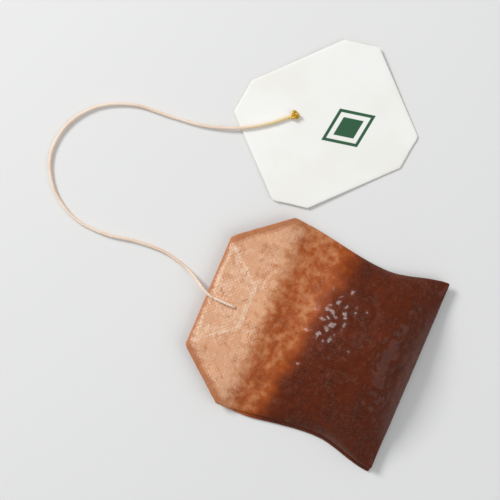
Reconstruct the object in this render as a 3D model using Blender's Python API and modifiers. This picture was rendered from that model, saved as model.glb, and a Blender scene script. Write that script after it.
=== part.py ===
"""A used two-chamber tea bag, lying wet on a table with its thread and its card tag.

The bag is one strip of filter paper made into a flat tube. The tube is filled in two places, folded in
the middle into a W at the foot, and its two ends are laid together at the head, turned under as a tip
and stitched through with the thread. +Z is up, +Y runs along the bag to its head, and the origin is the
point of the flat underside below the middle of the bag.
"""

import math

import bmesh
import bpy
import numpy as np
from mathutils import Vector

MM = 0.001

# The paper, and how its layers lie on each other
PAPER = 0.10 * MM
EMPTY_TUBE = 0.32 * MM
PITCH = 0.50 * MM
CLEAR = 0.30 * MM
FLOOR_GAP = 0.05 * MM

# The outline of the bag seen from above: drops from the head's edge, and half widths
BAG_LENGTH = 45.5 * MM
HEAD_HALF = 12.1 * MM
SHOULDER_DROP = 10.7 * MM
SHOULDER_HALF = 20.8 * MM
WAIST_DROP = 32.5 * MM
WAIST_HALF = 18.1 * MM
FOOT_HALF = 20.6 * MM
LOWER_SHIFT = 0.9 * MM
TIP_LENGTH = 8.0 * MM
GUSSET_DEPTH = 8.0 * MM

# Where the bag comes down to the table behind the tip, and where the chambers part for the W fold
SLOPE_MARGIN = 1.0 * MM
SLOPE_LENGTH = 7.0 * MM
PARTING_MARGIN = 1.0 * MM
PARTING_LENGTH = 5.0 * MM

# How far the swollen leaves lift the paper, the share of that along the filled length, and where the
# cross sections of the chambers are taken, in shares of that length
LOWER_LIFT = 3.9 * MM
UPPER_LIFT = 3.7 * MM
FILL_MARGIN = 1.5 * MM
FILL = [(0.0, 0.0), (0.15, 0.14), (0.32, 0.34), (0.49, 0.76), (0.63, 0.98), (0.74, 1.0), (0.85, 0.84),
        (0.93, 0.5), (1.0, 0.0)]
SIDE_FULLNESS = 0.75
LEAVES_FROM = 0.40
LEAVES_TO = 0.93
SECTIONS = [0.21, 0.32, 0.4, 0.49, 0.56, 0.63, 0.69, 0.74, 0.8, 0.85, 0.89, 0.93, 0.965]
SECTIONS_AT_GUSSET = 4
SECTION_BEHIND_SHOULDER = 2.4 * MM
TIP_MIDDLE = 0.45
SIDE_FOLD = 0.7
LEAF_GAP = 0.40 * MM
LEAF_EDGE = 0.30 * MM

# The thread, its stitch through the head and its knot on the tag
THREAD = 0.70 * MM
STITCH_X = -1.0 * MM
STITCH_DROP = 2.0 * MM
STITCH_LENGTH = 4.3 * MM
STITCH_CORNER = 0.5 * MM
NEEDLE_SPARE = 2.0 * MM
KNOT_WIDTH = 2.2 * MM
KNOT_HEIGHT = 1.2 * MM

# The card tag: where the middle of its top edge lies, and how far it is turned
TAG_WIDTH = 33.0 * MM
TAG_HEIGHT = 29.0 * MM
TAG_THICK = 0.30 * MM
TAG_CUT_ACROSS = 6.0 * MM
TAG_CUT_DOWN = 4.5 * MM
TAG_FROM_SHOULDER = 30.4 * MM
TAG_BEYOND_HEAD = 1.6 * MM
TAG_TURN = math.radians(-43.3)
KNOT_LEFT = 5.2 * MM
KNOT_DOWN = 10.3 * MM

# The thread's way over the table, in mm: across the bag, beyond its head, and up from the table
ROUTE = [(-1.0, -1.35, 3.52), (-0.4, 0.6, 3.45), (0.8, 2.6, 2.3), (2.1, 5.2, 0.8), (3.1, 8.4, 0.45),
         (3.7, 12.4, 0.45), (3.3, 18.0, 0.45), (2.2, 24.5, 0.45), (2.8, 31.5, 0.45), (6.6, 37.6, 0.45),
         (12.8, 41.0, 0.45), (19.8, 40.4, 0.45), (25.8, 36.2, 0.45), (29.2, 29.4, 0.45),
         (30.0, 21.6, 0.45), (31.0, 14.0, 0.5), (33.4, 7.2, 0.95), (36.6, 2.0, 0.95), (39.5, -1.2, 0.95)]
ROUTE_POINTS = 80

# Worked out from the values above
HALF_TUBE = EMPTY_TUBE / 2
HEAD_Y = BAG_LENGTH / 2
HEAD_LIFT = THREAD + CLEAR + FLOOR_GAP
HEAD_TOP = HEAD_LIFT + EMPTY_TUBE + 3 * PITCH
ACROSS = [-1.0, -0.94, -0.8, -0.5, 0.0, 0.5, 0.8, 0.94, 1.0]
TURN_STEPS = 4
TAG_PLACE = Vector((SHOULDER_HALF + TAG_FROM_SHOULDER, HEAD_Y + TAG_BEYOND_HEAD, 0))


def soft_step(low, high, at):
    """0 below low, 1 above high, and a soft step between them."""
    share = min(max((at - low) / (high - low), 0.0), 1.0)
    return share * share * (3 - 2 * share)


def half_width(drop):
    """Half of the bag's width at a drop from the head. A drop below zero is on the turned-under tip."""
    if drop < SHOULDER_DROP:
        return HEAD_HALF + (SHOULDER_HALF - HEAD_HALF) * drop / SHOULDER_DROP
    if drop < WAIST_DROP:
        return SHOULDER_HALF + (WAIST_HALF - SHOULDER_HALF) * soft_step(SHOULDER_DROP, WAIST_DROP, drop)
    return WAIST_HALF + (FOOT_HALF - WAIST_HALF) * ((drop - WAIST_DROP) / (BAG_LENGTH - WAIST_DROP)) ** 2


def fill_drop(share):
    """The drop at a share of the filled length."""
    start = TIP_LENGTH + FILL_MARGIN
    return start + (BAG_LENGTH - start) * share


def fill(drop):
    """Share of the full lift at a drop from the head."""
    start = TIP_LENGTH + FILL_MARGIN
    shares, lifts = zip(*FILL)
    return float(np.interp((drop - start) / (BAG_LENGTH - start), shares, lifts))


def crown(across):
    """Share of the lift from edge to edge of the bag: 1 in the middle, 0 at the side edges."""
    return (1 - across * across) ** SIDE_FULLNESS


def lower_level(drop):
    """Height of the lower chamber's side edges: on the table, and lifted by the tip at the head."""
    at_head = HEAD_LIFT + HALF_TUBE + 2 * PITCH
    start = TIP_LENGTH + SLOPE_MARGIN
    return at_head + (HALF_TUBE - at_head) * soft_step(start, start + SLOPE_LENGTH, drop)


def upper_level(drop):
    """Height of the upper chamber's side edges, with room for the W fold near the foot."""
    parted = BAG_LENGTH - GUSSET_DEPTH - PARTING_MARGIN
    return lower_level(drop) + PITCH + 2 * PITCH * soft_step(parted - PARTING_LENGTH, parted, drop)


def lower_shift(drop):
    """How far the lower chamber lies to one side, so that its edge shows past the upper one."""
    return -LOWER_SHIFT * soft_step(TIP_LENGTH, SHOULDER_DROP + TIP_LENGTH, drop)


def turn(drop, level, radius, towards_foot, climbs):
    """Centre points of a half turn of the tube, as (drop, height) pairs."""
    points = []
    for step in range(TURN_STEPS + 1):
        angle = math.pi * step / TURN_STEPS
        out = radius * math.sin(angle) * (1 if towards_foot else -1)
        up = radius * math.cos(angle) * (-1 if climbs else 1)
        points.append((drop + out, level + up))
    return points


def chamber_drops():
    """Drops of the cross sections along a chamber, from behind the tip's turn to before the foot's."""
    head = [TIP_LENGTH * TIP_MIDDLE, TIP_LENGTH, SHOULDER_DROP, SHOULDER_DROP + SECTION_BEHIND_SHOULDER]
    return head + [fill_drop(share) for share in SECTIONS]


def tube_path():
    """The tube from one end to the other: (drop, height, half width, sideways, lift outside, lift inside)."""
    path = []
    fold = 1.5 * PITCH + HALF_TUBE
    foot = BAG_LENGTH - PITCH / 2 - HALF_TUBE
    apex = BAG_LENGTH - GUSSET_DEPTH
    middle = HEAD_LIFT + HALF_TUBE + 1.5 * PITCH
    both = LOWER_LIFT + UPPER_LIFT

    def tip(level, drops):
        for drop in drops:
            path.append((drop, level, half_width(-drop), 0, 0, 0))

    def head_turn(radius, climbs):
        for drop, height in turn(fold, middle, radius, False, climbs):
            side = 1 if height > middle else -1
            path.append((drop, height, half_width(side * drop), 0, 0, 0))

    def foot_turn(level, shares, lifts):
        for step, (drop, height) in enumerate(turn(foot, level, PITCH / 2, True, False)):
            share = shares[0] + (shares[1] - shares[0]) * step / TURN_STEPS
            path.append((drop, height, half_width(drop), share * lower_shift(drop), *lifts))

    def arm(layer, share, drops):
        for drop in drops:
            level = lower_level(drop) + layer * PITCH
            path.append((drop, level, half_width(drop), share * lower_shift(drop), LOWER_LIFT, LOWER_LIFT))

    arm_drops = [fill_drop(share) for share in SECTIONS[-SECTIONS_AT_GUSSET:]]
    tip_drops = [TIP_LENGTH * TIP_MIDDLE, TIP_LENGTH]
    tip(HEAD_LIFT + HALF_TUBE, tip_drops[::-1])
    head_turn(1.5 * PITCH, True)
    for drop in chamber_drops():
        path.append((drop, upper_level(drop), half_width(drop), 0, both, LOWER_LIFT))
    foot_turn(lower_level(foot) + 2.5 * PITCH, (0, 1 / 3), (LOWER_LIFT, LOWER_LIFT))
    arm(2, 1 / 3, arm_drops[::-1])
    apex_level = lower_level(apex) + 1.5 * PITCH
    for step, (drop, height) in enumerate(turn(apex, apex_level, PITCH / 2, False, False)):
        share = (1 + step / TURN_STEPS) / 3
        path.append((drop, height, half_width(drop), share * lower_shift(drop), LOWER_LIFT, LOWER_LIFT))
    arm(1, 2 / 3, arm_drops)
    foot_turn(lower_level(foot) + 0.5 * PITCH, (2 / 3, 1), (0, LOWER_LIFT))
    for drop in chamber_drops()[::-1]:
        path.append((drop, lower_level(drop), half_width(drop), lower_shift(drop), 0, LOWER_LIFT))
    head_turn(0.5 * PITCH, False)
    tip(HEAD_LIFT + HALF_TUBE + PITCH, tip_drops)
    return path


def tube_rings():
    """The tube's cross sections, each a ring of points: the outer face's points, then the inner face's."""
    path = tube_path()
    centres = [Vector((0, HEAD_Y - station[0], station[1])) for station in path]
    rings = []
    for index, (drop, _, half, sideways, lift_out, lift_in) in enumerate(path):
        before = centres[max(index - 1, 0)]
        after = centres[min(index + 1, len(path) - 1)]
        along = (after - before).normalized()
        outwards = Vector((0, along.z, -along.y)) * HALF_TUBE
        lifted = fill(drop)
        centre = centres[index] + Vector((sideways, 0, 0))
        faces = []
        for sign, lift, order in ((1, lift_out, ACROSS), (-1, lift_in, ACROSS[::-1])):
            for across in order:
                up = Vector((across * half, 0, lift * lifted * crown(across)))
                faces.append(centre + up + outwards * sign)
            faces.append(centre + Vector((sign * (half + SIDE_FOLD * HALF_TUBE), 0, 0)))
        rings.append(faces)
    return rings


def loft(name, rings, capped):
    """A mesh object through rings of the same number of points. Its faces point away from the tube."""
    mesh_data = bmesh.new()
    loops = [[mesh_data.verts.new(point) for point in ring] for ring in rings]
    for first, second in zip(loops, loops[1:]):
        for corner in range(len(first)):
            after = (corner + 1) % len(first)
            mesh_data.faces.new((first[corner], second[corner], second[after], first[after]))
    if capped:
        mesh_data.faces.new(loops[0])
        mesh_data.faces.new(loops[-1][::-1])
        bmesh.ops.recalc_face_normals(mesh_data, faces=mesh_data.faces)
    mesh = bpy.data.meshes.new(name)
    mesh_data.to_mesh(mesh)
    mesh_data.free()
    mesh.shade_smooth()
    mesh.set_sharp_from_angle(angle=math.radians(40))
    return add_object(name, mesh, PARTS)


def add_object(name, data, collection):
    """An object that shows data, in a collection."""
    item = bpy.data.objects.new(name, data)
    collection.objects.link(item)
    return item


def material(name, colour, roughness, metallic=0.0):
    """A material of one colour."""
    made = bpy.data.materials.new(name)
    made.use_nodes = True
    shader = made.node_tree.nodes["Principled BSDF"]
    shader.inputs["Base Color"].default_value = (*colour, 1)
    shader.inputs["Roughness"].default_value = roughness
    shader.inputs["Metallic"].default_value = metallic
    made.diffuse_color = (*colour, 1)
    return made


def filter_bag():
    """The folded paper tube, with its wall inside the outer face and two holes for the stitch."""
    bag = loft("filter_bag", tube_rings(), False)
    wall = bag.modifiers.new("wall", "SOLIDIFY")
    wall.thickness = PAPER
    wall.offset = -1
    wall.use_even_offset = True
    for number, drop in enumerate((STITCH_DROP, STITCH_DROP + STITCH_LENGTH)):
        cut = bag.modifiers.new(f"stitch hole {number + 1}", "BOOLEAN")
        cut.operation = "DIFFERENCE"
        cut.object = needle_hole(drop)
    bag.data.materials.append(material("wet filter paper", (0.62, 0.36, 0.20), 0.45))


def needle_hole(drop):
    """A cutter as wide as the thread and its clearance, through all layers of the head."""
    shape = bmesh.new()
    radius = THREAD / 2 + CLEAR
    bmesh.ops.create_cone(shape, cap_ends=True, segments=16, radius1=radius, radius2=radius,
                          depth=HEAD_TOP + NEEDLE_SPARE)
    mesh = bpy.data.meshes.new("needle_hole")
    shape.to_mesh(mesh)
    shape.free()
    cutter = add_object("needle_hole", mesh, CUTTERS)
    cutter.location = (STITCH_X, HEAD_Y - drop, HEAD_TOP / 2)
    cutter.hide_render = True
    cutter.display_type = "WIRE"
    return cutter


def tea_leaves(name, lift, level, floor_lift, sideways):
    """The swollen leaves in one chamber: a pillow a gap inside the paper, thinning to its rim."""
    thin = EMPTY_TUBE - 2 * (PAPER + LEAF_GAP)
    rings = []
    for drop in [fill_drop(share) for share in SECTIONS if LEAVES_FROM <= share <= LEAVES_TO]:
        lifted = fill(drop)
        rim = math.sqrt(1 - ((LEAF_EDGE - thin) / (lift * lifted)) ** (1 / SIDE_FULLNESS))
        low, high = [], []
        for share in ACROSS:
            across = share * rim
            x = across * half_width(drop) + sideways(drop)
            floor = level(drop) - HALF_TUBE + PAPER + LEAF_GAP + floor_lift * lifted * crown(across)
            low.append(Vector((x, HEAD_Y - drop, floor)))
            high.append(Vector((x, HEAD_Y - drop, floor + thin + lift * lifted * crown(across))))
        rings.append(low + high[::-1])
    leaves = loft(name, rings, True)
    leaves.data.materials.append(material(name.replace("_", " "), (0.06, 0.02, 0.008), 0.7))


def tube_curve(name, points, closed):
    """A thread: a straight-sided spline with a round section and flat ends."""
    curve = bpy.data.curves.new(name, "CURVE")
    curve.dimensions = "3D"
    spline = curve.splines.new("POLY")
    spline.points.add(len(points) - 1)
    for point, place in zip(spline.points, points):
        point.co = (*place, 1)
    spline.use_cyclic_u = closed
    curve.bevel_depth = THREAD / 2
    curve.bevel_resolution = 2
    curve.use_fill_caps = True
    curve.materials.append(material(name.replace("_", " "), (0.85, 0.70, 0.52), 0.7))
    return add_object(name, curve, PARTS)


def string_stitch():
    """The closed loop of thread through the head: along its top, down, along its underside and up."""
    top = HEAD_TOP + CLEAR + THREAD / 2
    bottom = HEAD_LIFT - CLEAR - THREAD / 2
    near = HEAD_Y - STITCH_DROP
    far = near - STITCH_LENGTH
    corners = [(near, top, 0), (near, bottom, -90), (far, bottom, 180), (far, top, 90)]
    points = []
    for y, z, first in corners:
        centre_y = y - math.copysign(STITCH_CORNER, y - (near + far) / 2)
        centre_z = z - math.copysign(STITCH_CORNER, z - (top + bottom) / 2)
        for step in range(5):
            angle = math.radians(first + 90 - 22.5 * step)
            points.append((STITCH_X, centre_y + STITCH_CORNER * math.cos(angle),
                           centre_z + STITCH_CORNER * math.sin(angle)))
    tube_curve("string_stitch", points, True)


def knot_place():
    """The middle of the knot on the tag, seen from above."""
    right = Vector((math.cos(TAG_TURN), math.sin(TAG_TURN), 0))
    up = Vector((-math.sin(TAG_TURN), math.cos(TAG_TURN), 0))
    return TAG_PLACE - right * KNOT_LEFT - up * KNOT_DOWN


def smooth_route(points, count):
    """Evenly spaced points along a smooth curve through the given ones."""
    ends = [points[0] * 2 - points[1], *points, points[-1] * 2 - points[-2]]
    fine = []
    for before, first, second, after in zip(ends, ends[1:], ends[2:], ends[3:]):
        for step in range(20):
            t = step / 20
            fine.append(0.5 * (2 * first + (second - before) * t
                               + (2 * before - 5 * first + 4 * second - after) * t ** 2
                               + (3 * first - before - 3 * second + after) * t ** 3))
    fine = np.array([*fine, points[-1]])
    run = np.concatenate([[0], np.cumsum(np.linalg.norm(np.diff(fine, axis=0), axis=1))])
    places = np.linspace(0, run[-1], count)
    return np.stack([np.interp(places, run, fine[:, axis]) for axis in range(3)], axis=1), run[-1]


def string():
    """The free thread: its chosen route, eased so that it starts at the stitch and ends at the knot."""
    route = [Vector((x * MM, HEAD_Y + y * MM, z * MM)) for x, y, z in ROUTE]
    start = Vector((STITCH_X, HEAD_Y - STITCH_DROP + THREAD / 2 + CLEAR, HEAD_TOP + CLEAR + THREAD / 2))
    knot = knot_place()
    knot.z = TAG_THICK + CLEAR + THREAD / 2
    end = knot + (route[-2] - knot).normalized() * (KNOT_WIDTH / 2 + CLEAR)
    to_start, to_end = start - route[0], end - route[-1]
    last = len(route) - 1
    eased = [point + to_start * (1 - index / last) + to_end * (index / last)
             for index, point in enumerate(route)]
    points, length = smooth_route([np.array(point) for point in eased], ROUTE_POINTS)
    tube_curve("string", points, False)
    print(f"free thread: {length / MM:.1f} mm")


def string_knot():
    """The knot on the tag: a flattened ball over the card and a shank down through its hole."""
    base = TAG_THICK + CLEAR
    half = KNOT_WIDTH / 2
    profile = [(0, base + KNOT_HEIGHT), (0.55 * half, base + 0.93 * KNOT_HEIGHT),
               (0.9 * half, base + 0.7 * KNOT_HEIGHT), (half, base + 0.4 * KNOT_HEIGHT),
               (0.85 * half, base), (THREAD / 2, base), (THREAD / 2, FLOOR_GAP), (0, FLOOR_GAP)]
    outline = bmesh.new()
    corners = [outline.verts.new((radius, 0, height)) for radius, height in profile]
    for first, second in zip(corners, corners[1:]):
        outline.edges.new((first, second))
    mesh = bpy.data.meshes.new("string_knot")
    outline.to_mesh(mesh)
    outline.free()
    knot = add_object("string_knot", mesh, PARTS)
    spin = knot.modifiers.new("turned", "SCREW")
    spin.steps = spin.render_steps = 16
    spin.use_merge_vertices = True
    spin.merge_threshold = 0.00001
    knot.location = knot_place()
    knot.data.materials.append(material("golden thread", (0.72, 0.52, 0.10), 0.5))


def tag():
    """The flat card with its cut-off corners and a round hole for the knot's shank."""
    side, cut = TAG_WIDTH / 2, TAG_WIDTH / 2 - TAG_CUT_ACROSS
    outline = [(-cut, 0), (cut, 0), (side, -TAG_CUT_DOWN), (side, TAG_CUT_DOWN - TAG_HEIGHT),
               (cut, -TAG_HEIGHT), (-cut, -TAG_HEIGHT), (-side, TAG_CUT_DOWN - TAG_HEIGHT),
               (-side, -TAG_CUT_DOWN)]
    radius = THREAD / 2 + CLEAR
    hole = [(-KNOT_LEFT + radius * math.cos(math.radians(angle)),
             -KNOT_DOWN + radius * math.sin(math.radians(angle))) for angle in range(0, 360, 30)]
    curve = bpy.data.curves.new("tag", "CURVE")
    curve.dimensions = "2D"
    curve.fill_mode = "BOTH"
    curve.extrude = TAG_THICK / 2
    for corners in (outline, hole):
        spline = curve.splines.new("POLY")
        spline.points.add(len(corners) - 1)
        for point, place in zip(spline.points, corners):
            point.co = (*place, 0, 1)
        spline.use_cyclic_u = True
    card = add_object("tag", curve, PARTS)
    card.location = (TAG_PLACE.x, TAG_PLACE.y, TAG_THICK / 2)
    card.rotation_euler.z = TAG_TURN
    curve.materials.append(material("white card", (0.90, 0.90, 0.88), 0.6))


for item in list(bpy.data.objects):
    bpy.data.objects.remove(item)
PARTS = bpy.data.collections.new("tea bag")
CUTTERS = bpy.data.collections.new("cutters")
bpy.context.scene.collection.children.link(PARTS)
bpy.context.scene.collection.children.link(CUTTERS)

filter_bag()
tea_leaves("tea_leaves_upper", UPPER_LIFT, upper_level, LOWER_LIFT, lambda drop: 0)
tea_leaves("tea_leaves_lower", LOWER_LIFT, lower_level, 0, lower_shift)
string_stitch()
string()
string_knot()
tag()
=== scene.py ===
# %% [markdown]
# # A used tea bag with its thread and its tag
# The bag lies wet on a table: two paper chambers on top of each other, full of swollen leaves at the foot
# and flat at the folded head. A thread is stitched through the head and ends in a knot on a card tag.
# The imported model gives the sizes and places, and this lesson makes the surfaces that are seen.

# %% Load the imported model
import math

import bmesh
import bpy
import numpy as np
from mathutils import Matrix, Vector, noise


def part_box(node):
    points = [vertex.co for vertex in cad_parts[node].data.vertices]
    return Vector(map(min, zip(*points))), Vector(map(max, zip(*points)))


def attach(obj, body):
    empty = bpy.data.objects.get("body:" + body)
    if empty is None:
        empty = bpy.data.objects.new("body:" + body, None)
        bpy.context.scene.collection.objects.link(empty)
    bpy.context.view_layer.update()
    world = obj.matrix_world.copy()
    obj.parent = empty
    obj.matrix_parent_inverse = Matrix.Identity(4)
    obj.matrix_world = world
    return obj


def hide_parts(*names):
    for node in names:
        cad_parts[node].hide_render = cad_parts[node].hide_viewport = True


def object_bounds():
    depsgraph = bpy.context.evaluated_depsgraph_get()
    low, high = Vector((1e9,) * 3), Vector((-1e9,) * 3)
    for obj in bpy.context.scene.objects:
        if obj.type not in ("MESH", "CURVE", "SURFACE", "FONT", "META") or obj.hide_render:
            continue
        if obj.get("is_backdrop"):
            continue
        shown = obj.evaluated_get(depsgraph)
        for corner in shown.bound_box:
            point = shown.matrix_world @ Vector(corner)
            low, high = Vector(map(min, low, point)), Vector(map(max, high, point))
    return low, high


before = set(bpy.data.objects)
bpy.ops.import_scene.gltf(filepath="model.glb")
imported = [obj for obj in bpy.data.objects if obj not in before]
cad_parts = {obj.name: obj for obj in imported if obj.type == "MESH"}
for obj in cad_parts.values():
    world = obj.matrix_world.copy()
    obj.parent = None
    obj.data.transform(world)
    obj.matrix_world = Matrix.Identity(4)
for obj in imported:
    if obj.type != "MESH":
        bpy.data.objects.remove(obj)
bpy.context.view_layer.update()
MM = 0.001
bag_low, bag_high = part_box("filter_bag")
HEAD_Y = bag_high.y
BAG_LENGTH = bag_high.y - bag_low.y
print("bag length", round(BAG_LENGTH / MM, 2), "mm, height", round(bag_high.z / MM, 2), "mm")

# %% [markdown]
# ## Camera
# The picture looks straight down, and the bag's head points to the left of the picture and a little up.
# The camera therefore only turns about the vertical. The two values are the direction, to the right and
# up in the picture, in which the bag's own +Y is seen.

# %% Camera straight above
HEAD_SEEN_RIGHT = -0.919
HEAD_SEEN_UP = 0.393
VIEW_WIDTH = 104 * MM
LENS = 85.0
LOOK_AT = Vector((11 * MM, 18 * MM, 0))

camera = bpy.data.objects.new("camera", bpy.data.cameras.new("camera"))
bpy.context.scene.collection.objects.link(camera)
bpy.context.scene.camera = camera
camera.data.lens = LENS
turned = math.atan2(HEAD_SEEN_RIGHT, HEAD_SEEN_UP)
distance = VIEW_WIDTH * LENS / camera.data.sensor_width
camera.location = LOOK_AT + Vector((0, 0, distance))
camera.rotation_euler = (0, 0, turned)
camera.data.clip_start = 10 * MM
print("camera", round(distance, 3), "m above the table, turned", round(math.degrees(turned), 1), "degrees")

# %% [markdown]
# ## Light and floor
# A large soft lamp stands up and to the left in the picture, so that the wet paper shines and every
# crease shows, and a weak one opposite fills the shadows. The floor is a pale plane.

# %% Lamps, world and floor
SKY_COLOUR = (0.96, 0.98, 1.0, 1)
SKY_STRENGTH = 0.42
FLOOR_SIZE = 6.0
FLOOR_BELOW = 0.05 * MM


def seen(right, up):
    """A level direction in the room, from a direction in the picture."""
    return Vector((right * math.cos(turned) - up * math.sin(turned),
                   right * math.sin(turned) + up * math.cos(turned), 0))


def lamp(name, right, up, height, size, power):
    """A square soft lamp that looks at the middle of the picture."""
    light = bpy.data.lights.new(name, "AREA")
    light.size = size
    light.energy = power
    holder = bpy.data.objects.new(name, light)
    bpy.context.scene.collection.objects.link(holder)
    holder.location = LOOK_AT + seen(right, up) + Vector((0, 0, height))
    holder.rotation_euler = (LOOK_AT - holder.location).to_track_quat("-Z", "Y").to_euler()


lamp("key lamp", right=-0.42, up=0.36, height=0.42, size=0.22, power=3.4)
lamp("fill lamp", right=0.45, up=-0.2, height=0.5, size=0.5, power=1.1)
world = bpy.data.worlds.new("studio")
bpy.context.scene.world = world
world.use_nodes = True
sky = world.node_tree.nodes["Background"]
sky.inputs["Color"].default_value = SKY_COLOUR
sky.inputs["Strength"].default_value = SKY_STRENGTH
bpy.context.scene.view_settings.view_transform = "Standard"

bpy.ops.object.select_all(action="DESELECT")
bpy.ops.mesh.primitive_plane_add(size=FLOOR_SIZE, location=(0, 0, -FLOOR_BELOW))
floor = bpy.context.object
floor.name = "floor"
bpy.ops.object.transform_apply(location=True, rotation=False, scale=False)
floor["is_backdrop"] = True
print("lamps:", [light.name for light in bpy.data.lights], "and a floor", FLOOR_SIZE, "m wide")

# %% [markdown]
# ## Small helpers
# Every finish is a Principled shader with a few texture nodes in front of it. These helpers make a
# material, add a node with its values set, and join sockets, so that a finish reads from top to bottom.


# %% Helpers for materials
def linear(red, green, blue):
    """A colour as seen on a screen, 0 to 255, in the linear values that a shader takes."""
    parts = [part / 255 for part in (red, green, blue)]
    return tuple(p / 12.92 if p <= 0.04045 else ((p + 0.055) / 1.055) ** 2.4 for p in parts) + (1.0,)


def new_material(name, **values):
    """A material and its node tree, with the Principled shader's own sockets set."""
    made = bpy.data.materials.new(name)
    made.use_nodes = True
    shader = made.node_tree.nodes["Principled BSDF"]
    for socket, value in values.items():
        shader.inputs[socket.replace("_", " ")].default_value = value
    return made, made.node_tree, shader


def add_node(tree, kind, settings=None, **inputs):
    """A node with its settings and inputs. i0 is the first input, and a value may be another's output."""
    made = tree.nodes.new(kind)
    for name, value in (settings or {}).items():
        setattr(made, name, value)
    for name, value in inputs.items():
        by_number = name[0] == "i" and name[1:].isdigit()
        socket = made.inputs[int(name[1:]) if by_number else name]
        if isinstance(value, bpy.types.NodeSocket):
            tree.links.new(value, socket)
        else:
            socket.default_value = value
    return made


def ramp(tree, factor, stops):
    """A colour ramp with (place, colour) stops."""
    made = add_node(tree, "ShaderNodeValToRGB", Fac=factor)
    elements = made.color_ramp.elements
    while len(elements) < len(stops):
        elements.new(0.5)
    for element, (place, colour) in zip(elements, stops):
        element.position = place
        element.color = colour
    return made.outputs["Color"]


def mix(tree, factor, first, second):
    """The first colour where the factor is 0, and the second where it is 1."""
    return add_node(tree, "ShaderNodeMix", {"data_type": "RGBA"}, i0=factor, i6=first, i7=second).outputs[2]


def math_node(tree, operation, first, second=0.0, third=0.0, clamp=False):
    """The output of one sum. Only MULTIPLY_ADD takes the third value."""
    return add_node(tree, "ShaderNodeMath", {"operation": operation, "use_clamp": clamp},
                    i0=first, i1=second, i2=third).outputs[0]


def noise_node(tree, coordinates, scale, detail=3.0, roughness=0.55):
    """The grey output of a noise texture, about 0.5 in the middle."""
    return add_node(tree, "ShaderNodeTexNoise", Vector=coordinates, Scale=scale, Detail=detail,
                    Roughness=roughness).outputs["Fac"]


def centred(tree, grey, amount, middle=0.5):
    """Noise moved so that its middle is 0, times an amount."""
    return math_node(tree, "MULTIPLY", math_node(tree, "SUBTRACT", grey, middle), amount)


def object_place(tree):
    """The coordinates of the piece itself, in metres."""
    return add_node(tree, "ShaderNodeTexCoord").outputs["Object"]


def relief(tree, shader, height, strength, depth):
    """Fine relief on a shader, from a height between 0 and 1."""
    bump = add_node(tree, "ShaderNodeBump", Strength=strength, Distance=depth, Height=height)
    tree.links.new(bump.outputs["Normal"], shader.inputs["Normal"])


floor_finish, _, _ = new_material("pale floor", Roughness=0.8, Base_Color=(0.80, 0.80, 0.79, 1))
floor.data.materials.append(floor_finish)
print("floor finish:", floor_finish.name)

# %% [markdown]
# ## The folded paper
# The real bag is a flat paper tube. Each end is turned under at the head, and the leaves puff up what is
# between the head and the foot. So each chamber starts here as its flat pattern: a grid with the two
# corners cut off at the head, thickened to two sheets of paper. The pattern is then folded at the head by
# a short formula, as the fingers of a machine would fold it, and blown up by a cloth simulation.
# A drop is the way from the head's edge towards the foot.

# %% Sizes of the pattern
HEAD_HALF = 12.1 * MM
SHOULDER_HALF = 20.8 * MM
SHOULDER_DROP = 10.7 * MM
WAIST_HALF = 18.3 * MM
WAIST_DROP = 32.5 * MM
TAPER = (SHOULDER_HALF - HEAD_HALF) / SHOULDER_DROP
TIP_LENGTH = 8.0 * MM
EMPTY_TUBE = 0.30 * MM
PITCH = 0.50 * MM
LOWER_TURN = 0.5 * PITCH
UPPER_TURN = 1.5 * PITCH
STACK_MIDDLE = 1.96 * MM
FOLD_DROP = 0.91 * MM
HEAD_PART = 10 * MM
SLACK = 1.6 * MM
LOWER_SHIFT = 0.9 * MM
EDGE_LEVEL = 0.35 * MM
SLOPE_FROM = TIP_LENGTH + 1 * MM
SLOPE_TO = TIP_LENGTH + 8 * MM
PARTING_FROM = 31.5 * MM
PARTING_TO = 36.5 * MM
FILL_START = 9.5 * MM
FILL_AT = (0, 0.15, 0.32, 0.49, 0.63, 0.74, 0.85, 0.93, 1)
FILL_SHARE = (0, 0.14, 0.34, 0.76, 0.98, 1, 0.84, 0.5, 0)
SIDE_FULLNESS = 0.75
LOWER_LIFT = 3.8 * MM
UPPER_LIFT = 3.6 * MM
CELLS = 64


def soft_step(low, high, at):
    """0 below low, 1 above high, and a soft step between them."""
    share = np.clip((at - low) / (high - low), 0, 1)
    return share * share * (3 - 2 * share)


def side_pull(drop):
    """How much narrower than flat the bag is: the swollen leaves draw the sides in, but not the foot."""
    waist = soft_step(SHOULDER_DROP, WAIST_DROP, drop)
    flare = soft_step(WAIST_DROP, BAG_LENGTH, drop)
    return 1 - (SHOULDER_HALF - WAIST_HALF) / SHOULDER_HALF * waist * (1 - flare)


def lower_level(drop):
    """Height of the lower chamber's side edges: lifted by the turned-under tip, then near the table."""
    at_head = STACK_MIDDLE + PITCH / 2
    return at_head + (EDGE_LEVEL - at_head) * soft_step(SLOPE_FROM, SLOPE_TO, drop)


def upper_level(drop):
    """Height of the upper chamber's side edges, just above those of the lower one."""
    return lower_level(drop) + PITCH + 2 * PITCH * soft_step(PARTING_FROM, PARTING_TO, drop)


def swell(across, drop):
    """Share of the full thickness at a place of the flat sheet: most near the foot, none at the edges."""
    along = np.interp(drop, FILL_START + (BAG_LENGTH - FILL_START) * np.array(FILL_AT), FILL_SHARE)
    return along * (1 - np.clip(across / SHOULDER_HALF, -1, 1) ** 2) ** SIDE_FULLNESS


print("pattern", round(2 * SHOULDER_HALF / MM, 1), "mm wide, in", CELLS, "cells")

# %% [markdown]
# The pattern is modelled as by hand: a grid of the right size, cut along the two slanting sides of the
# head and its tip, and thickened so that it is two sheets that are closed all round. The first helpers
# select an object, and read and move its points as one array, which is quicker than point by point.


# %% The flat pattern, cut and thickened
def only(item):
    """Makes one object the selected and active one."""
    bpy.ops.object.select_all(action="DESELECT")
    item.select_set(True)
    bpy.context.view_layer.objects.active = item


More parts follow.
